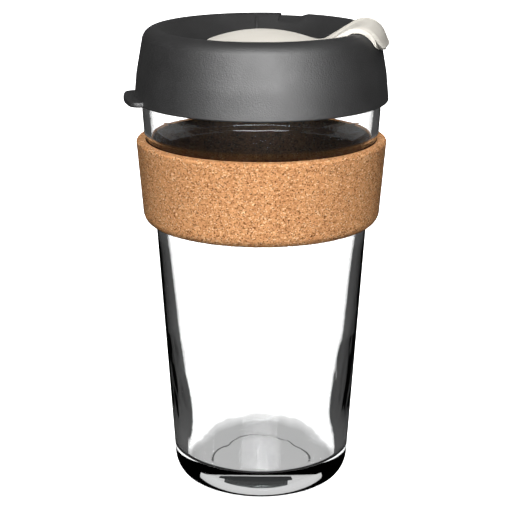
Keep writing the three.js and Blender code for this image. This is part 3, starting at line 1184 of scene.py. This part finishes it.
    def sink_recess(self, mesh: bmesh.types.BMesh) -> None:
        """Lowers the crest where the hook is parked: a crisp wall on one side, a soft end on the other.

        Args:
            mesh: The turned shell.
        """
        sharp = self.recess_azimuth + self.recess_half_angle
        soft = self.recess_azimuth - self.recess_half_angle
        for angle in (sharp, sharp - self.recess_wall):
            across = Vector((-sin(angle), cos(angle), 0))
            geometry = mesh.verts[:] + mesh.edges[:] + mesh.faces[:]
            bmesh.ops.bisect_plane(mesh, geom=geometry, dist=WELD, plane_co=(0, 0, 0), plane_no=across)
        mesh.normal_update()
        inner = self.crest.radius - self.recess_reach
        lower = self.crest.height - self.recess_reach
        for vert in mesh.verts:
            out = hypot(vert.co.x, vert.co.y)
            inside = vert.normal.xy.dot(vert.co.xy) < 0
            if vert.co.z < lower or out < inner or vert.normal.z < -0.2 or (inside and vert.normal.z < 0.05):
                continue
            angle = azimuth(vert.co)
            share = smoothstep(soft, soft + self.recess_fade, angle)
            share *= max(0.0, min(1.0, (sharp - angle) / self.recess_wall))
            share *= smoothstep(inner, inner + 0.0015, out) * smoothstep(lower, lower + 0.003, vert.co.z)
            vert.co -= vert.normal * (self.recess_depth * share)

    def build(self) -> bpy.types.Object:
        """Makes the lid and puts it in its node's place.

        Returns:
            The settled piece.
        """
        mesh = turned(refined(rounded(self.shell_outline(), radians(6)), 0.0015), self.steps)
        self.sink_recess(mesh)
        piece = to_object("lid_shell", mesh, self.material)
        tab = slab(self.tab_outline(), self.bottom, self.bottom + self.tab_thickness, self.tab_edge)
        swing(tab, self.tab_azimuth)
        combine(piece, to_object("tab", tab, None), "UNION")
        combine(piece, self.stop_rib(), "UNION")
        combine(piece, self.sip_cutter(), "DIFFERENCE")
        return settle(piece, Body.LID, "lid")

    def stop_rib(self) -> bpy.types.Object:
        """The low radial rib that stops the plug's arm.

        Returns:
            The rib, to be joined to the lid.
        """
        high = self.crest.radius - self.stop_inset
        low = high - self.stop_length
        rise = self.bowl_floor + (low - self.face()[1].radius) * tan(self.bowl_slope)
        run = (high - low) * tan(self.bowl_slope)
        outline = [
            Vector((low, rise - self.wall / 2)),
            Vector((high, rise + run - self.wall / 2)),
            Vector((high, rise + run + self.stop_height * self.stop_end_share)),
            Vector((high - self.stop_slope, rise + run - self.stop_fall + self.stop_height)),
            Vector((low + self.stop_slope, rise + self.stop_swell + self.stop_height)),
            Vector((low, rise + self.stop_height * self.stop_end_share)),
        ]
        middle = (low + high) / 2
        rib = turned(outline, 2, self.stop_width / middle)
        swing(rib, self.stop_azimuth)
        return to_object("stop_rib", rib, None)

    def sip_cutter(self) -> bpy.types.Object:
        """The upright slot that cuts the sip opening.

        Returns:
            The cutter.
        """
        end = (self.sip_length - self.sip_width) / 2
        half = self.sip_width / 2
        middle = self.crest.radius - self.sip_inset
        points = [*arc(middle, -end, half, -pi, 0, 12), *arc(middle, end, half, 0, pi, 12)]
        cutter = slab(points, self.bottom + self.sip_cut_rise, self.crest.height, 0.0)
        swing(cutter, self.sip_azimuth)
        return to_object("sip_cutter", cutter, None)


@dataclass
class SwivelPlug:
    """The cream plug: a domed disc on a snap stem, and an arm that hooks over the lid's crest."""

    material: bpy.types.Material
    lid: Lid
    azimuth: float = radians(-9)
    disc_margin: float = 0.005
    disc_edge: float = 0.0025
    disc_fillet: float = 0.0008
    dome_rise: float = 0.0037
    dome_shell: float = 0.002
    rim_wall: float = 0.0025
    bore_gap: float = 0.0002
    arm_wall: float = 0.0017
    root_half_width: float = 0.0095
    crest_half_width: float = 0.0139
    tip_half_width: float = 0.012
    tip_corner: float = 0.005
    hook_reach: float = 0.0091
    lip_flare: float = 0.0002
    lip_fade: float = 0.003
    lip_fade_radius: float = 0.036
    root_overlap: float = 0.0005
    valley_reach: float = 0.0025
    valley_run: float = 0.002
    shoulder_reach: float = 0.0045
    crest_reach: float = 0.003
    rim_height: float = 0.00045
    rim_place: float = 0.0021
    rim_spread: float = 0.0017
    snap_lip: float = 0.001
    snap_length: float = 0.0032
    snap_tip: float = 0.003
    edge_round: float = 0.00045
    edge_angle: float = radians(55)
    arm_spread: float = radians(60)
    steps: int = 160
    arm_steps: int = 72

    @property
    def disc_radius(self) -> float:
        """Radius of the disc, which leaves an even margin of the bowl's floor around it."""
        return self.lid.face()[1].radius - self.disc_margin

    @property
    def seat(self) -> float:
        """Height of the disc's underside."""
        return self.lid.bowl_floor + GAP

    @property
    def hook_bottom(self) -> float:
        """Height of the hook's lower edge."""
        return self.lid.crest.height - self.hook_reach

    def dome_height(self, radius: float) -> float:
        """Height of the domed top at a radius."""
        return self.seat + self.disc_edge + self.dome_rise * (1 - (radius / self.disc_radius) ** 2)

    def disc_outline(self) -> list[Corner]:
        """The disc's and stem's section, from the dome's middle round to the stem's tip.

        Returns:
            The section's corners.
        """
        edge_top = self.seat + self.disc_edge
        hollow = self.disc_radius - self.rim_wall
        stem = self.lid.stem_hole - self.bore_gap
        hub = stem + self.dome_shell
        snap_top = self.lid.bowl_floor - self.lid.wall - GAP
        tops = [(self.disc_radius - self.disc_fillet) * step / 18 for step in range(18)]
        unders = [hollow + (hub - hollow) * step / 8 for step in range(9)]
        return [
            *[Corner(r, self.dome_height(r)) for r in tops],
            Corner(self.disc_radius, edge_top, self.disc_fillet),
            Corner(self.disc_radius, self.seat, 0.0004),
            Corner(hollow, self.seat, 0.0003),
            *[Corner(r, self.dome_height(r) - self.dome_shell) for r in unders],
            Corner(hub, self.seat),
            Corner(stem, self.seat),
            Corner(stem, snap_top),
            Corner(self.lid.stem_hole + self.snap_lip, snap_top, 0.0003),
            Corner(self.snap_tip, snap_top - self.snap_length, 0.0006),
            Corner(0, snap_top - self.snap_length),
        ]

    def arm_outline(self) -> tuple[list[Vector], int]:
        """The arm's section: along the bowl, over the crest, down to a small flared lip, and back.

        Returns:
            The section's points, and how many of them are on its underside.
        """
        root = self.disc_radius - self.rim_wall + self.root_overlap
        under, over = self.lid.strip(GAP, GAP + self.arm_wall, root, self.hook_bottom)
        out = over[-1].x + self.lip_flare
        neck = self.hook_bottom + self.lip_fade
        valley = self.disc_radius + self.valley_reach
        shoulder = self.disc_radius - self.shoulder_reach
        start = valley + self.valley_run
        top = [p for p in over if p.x > start and (p.x < self.lip_fade_radius or p.y > neck)]
        corners = [
            *[Corner(point.x, point.y) for point in under[:-1]],
            Corner(under[-1].x, under[-1].y, 0.0003),
            Corner(out, self.hook_bottom, 0.0005),
            Corner(out, self.hook_bottom + 0.0009, 0.0008),
            *[Corner(point.x, point.y) for point in reversed(top)],
            Corner(valley, over[0].y + 0.0001, 0.005),
            Corner(shoulder, self.dome_height(shoulder) - 0.00005),
            Corner(root, under[0].y + self.disc_edge),
        ]
        return refined(rounded(corners, radians(7)), 0.0008), len(under)

    def half_width(self, radius: float, height: float) -> float:
        """Half the arm's width, round the axis, at a place on its section.

        Args:
            radius: The place's radius.
            height: The place's height.

        Returns:
            The half width.
        """
        crest = self.lid.crest.radius - self.crest_reach
        root = self.disc_radius - self.rim_wall
        if radius < crest:
            share = 1 - (1 - max(0.0, (radius - root) / (crest - root))) ** 4
            return self.root_half_width + (self.crest_half_width - self.root_half_width) * share
        fall = max(0.0, self.lid.crest.height - 0.003 - height)
        share = smoothstep(0.0, self.hook_reach - 0.002, fall)
        width = self.crest_half_width + (self.tip_half_width - self.crest_half_width) * share
        above = height - self.hook_bottom
        if above < self.tip_corner:
            inset = self.tip_corner - max(above, 0.0)
            width -= self.tip_corner - sqrt(max(self.tip_corner**2 - inset**2, 0.0))
        return width

    def build_arm(self) -> bpy.types.Object:
        """Makes the arm by turning its section, drawing its sides in and raising a soft rim along them.

        Returns:
            The arm, to be joined to the disc.
        """
        spread = self.arm_spread
        outline, under = self.arm_outline()
        mesh = turned(outline, self.arm_steps, spread)

        def rim(index: int, place: Vector) -> float:
            """How far the soft rim stands up.

            Args:
                index: The number of the outline's point.
                place: The mesh point's place.

            Returns:
                The height along the outline's normal.
            """
            radius = hypot(place.x, place.y)
            inwards = (1 - abs(azimuth(place)) / (spread / 2)) * self.half_width(radius, place.z)
            swell = max(0.0, 1 - ((inwards - self.rim_place) / self.rim_spread) ** 2)
            grown = smoothstep(self.disc_radius + 0.002, self.disc_radius + 0.009, radius)
            return self.rim_height * (swell - 0.35) * grown if index > under + 6 else 0.0

        lift(mesh, outline, rim)
        for vert in mesh.verts:
            radius = hypot(vert.co.x, vert.co.y)
            side = azimuth(vert.co) / (spread / 2)
            angle = side * self.half_width(radius, vert.co.z) / radius
            vert.co.x, vert.co.y = radius * cos(angle), radius * sin(angle)
        ends = [edge for edge in mesh.edges if edge.is_manifold and edge.calc_face_angle(0) > self.edge_angle]
        round_edges(mesh, ends, self.edge_round)
        swing(mesh, self.azimuth)
        return to_object("arm", mesh, None)

    def build(self) -> bpy.types.Object:
        """Makes the plug and puts it in its node's place.

        Returns:
            The settled piece.
        """
        mesh = turned(rounded(self.disc_outline(), radians(10)), self.steps)
        piece = to_object("plug_moulding", mesh, self.material)
        combine(piece, self.build_arm(), "UNION")
        return settle(piece, Body.PLUG, "swivel_plug")


def settle(piece: bpy.types.Object, body: Body, node: str) -> bpy.types.Object:
    """Makes a piece ride on its body and stand for its CAD node.

    Args:
        piece: The finished piece, in its place.
        body: The body that it moves with.
        node: The CAD node that it stands for.

    Returns:
        The piece.
    """
    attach(piece, body.value)
    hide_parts(node)
    return piece


# --------------------------------------------------------------------------- studio


@dataclass(frozen=True)
class Lamp:
    """A soft rectangular light that faces the cup."""

    name: str
    place: tuple
    size: tuple
    power: float
    diffuse: bool = True
    glossy: bool = True
    transmission: bool = True
    aim: tuple = (0, 0, 0.1)

    def build(self) -> None:
        """Hangs the light, which the camera itself doesn't see."""
        data = bpy.data.lights.new(self.name, "AREA")
        data.shape = "RECTANGLE"
        data.size, data.size_y = self.size
        data.energy = self.power
        lamp = bpy.data.objects.new(self.name, data)
        lamp.location = self.place
        lamp.rotation_euler = (Vector(self.aim) - Vector(self.place)).to_track_quat("-Z", "Y").to_euler()
        lamp.visible_camera = False
        lamp.visible_diffuse = self.diffuse
        lamp.visible_glossy = self.glossy
        lamp.visible_transmission = self.transmission
        bpy.context.scene.collection.objects.link(lamp)


@dataclass
class Studio:
    """The white table, the soft lights, and the camera."""

    floor_size: float = 6.0
    floor_drop: float = 0.0002
    floor_squares: int = 8
    backdrop: float = 2.4
    mirrored_backdrop: float = 0.9
    sky_stops: tuple = ((0.45, 0.004), (0.75, 0.012), (0.9, 0.10))
    camera_place: tuple = (-0.00222, -0.55507, 0.24236)
    camera_pitch: float = 0.2787
    lens: float = 114.44
    sensor: float = 36.0
    sight: tuple = (0.05, 20.0)
    lamps: tuple = (
        Lamp("front_gleam", (0.0, -0.95, 0.40), (1.25, 0.45), 26.0, diffuse=False),
        Lamp("front_key", (-0.02, -0.93, 0.52), (0.3, 0.3), 14.5, glossy=False),
        Lamp("top_soft", (0.0, -0.56, 0.88), (0.6, 0.35), 2.8),
        Lamp("back_soft", (0.05, 0.95, 0.42), (0.5, 0.4), 9.0, glossy=False, transmission=False),
    )

    def table(self) -> None:
        """Lays the pale floor, with a faint colour drift."""
        mesh = bmesh.new()
        squares = self.floor_squares
        bmesh.ops.create_grid(mesh, x_segments=squares, y_segments=squares, size=self.floor_size / 2)
        bmesh.ops.translate(mesh, verts=mesh.verts, vec=(0, 0, -self.floor_drop))
        floor = to_object("pale_floor", mesh, PaleFloor().build())
        floor.visible_diffuse = False
        floor.visible_glossy = False

    def sky(self) -> None:
        """Sets a white backdrop, which is bright directly and through glass, and dim to bounced light."""
        world = bpy.data.worlds.new("studio")
        bpy.context.scene.world = world
        world.use_nodes = True
        graph = Graph(world.node_tree, "Generated")
        path = graph.node("LightPath").outputs
        rise = graph.remap(graph.node("SeparateXYZ", {0: graph.place}).outputs["Z"], -1.0, 1.0, 0.0, 1.0)
        greys = [(where, (level,) * 3) for where, level in self.sky_stops]
        dim = graph.node("Background", {"Color": graph.ramp(rise, greys)})
        fading = graph.remap(path["Glossy Depth"], 0.0, 1.0, self.backdrop, self.mirrored_backdrop)
        bright = graph.node("Background", {"Strength": fading})
        outside = graph.math("LESS_THAN", path["Transmission Depth"], 0.5)
        mirrored = graph.math("MULTIPLY", outside, path["Glossy Depth"])
        bounced = graph.math("ADD", path["Diffuse Depth"], mirrored, clamp=True)
        choice = graph.node("MixShader", {0: bounced, 1: bright.outputs[0], 2: dim.outputs[0]})
        graph.node("OutputWorld", {"Surface": choice.outputs[0]})

    def camera(self) -> None:
        """Places the camera at its viewing height and angle."""
        data = bpy.data.cameras.new("camera")
        data.lens = self.lens
        data.sensor_width = self.sensor
        data.clip_start, data.clip_end = self.sight
        camera = bpy.data.objects.new("camera", data)
        camera.location = self.camera_place
        camera.rotation_euler = (pi / 2 - self.camera_pitch, 0, 0)
        bpy.context.scene.collection.objects.link(camera)
        bpy.context.scene.camera = camera

    def build(self) -> None:
        """Builds the whole studio."""
        self.camera()
        self.table()
        self.sky()
        for lamp in self.lamps:
            lamp.build()
        view = bpy.context.scene.view_settings
        view.view_transform = "Standard"
        view.look = "None"


def main() -> None:
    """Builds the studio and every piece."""
    Studio().build()
    glass = GlassCup(ClearGlass().build(), ClearGlass("foot_glass", ior=1.28).build())
    lid_finish = SatinPlastic(
        "dark_plastic", colour=(0.005, 0.0049, 0.005), worn=(0.008, 0.0078, 0.008), roughness=(0.52, 0.6),
        specular=0.95,
    )
    plug_finish = SatinPlastic(
        "cream_elastomer", colour=(0.60, 0.57, 0.51), worn=(0.655, 0.625, 0.565), roughness=(0.5, 0.62),
    )
    lid = Lid(lid_finish.build(), glass)
    # The bore's cork is darkened to 0.16 of the outer cork: painted shade for the ring's inner face.
    cork = CorkBand(PressedCork().build(), PressedCork("cork_bore_painted_shade", shade=0.16).build(), glass)
    plug = SwivelPlug(plug_finish.build(), lid)
    for maker in (glass, cork, lid, plug):
        piece = maker.build()


if __name__ == "__main__":
    main()
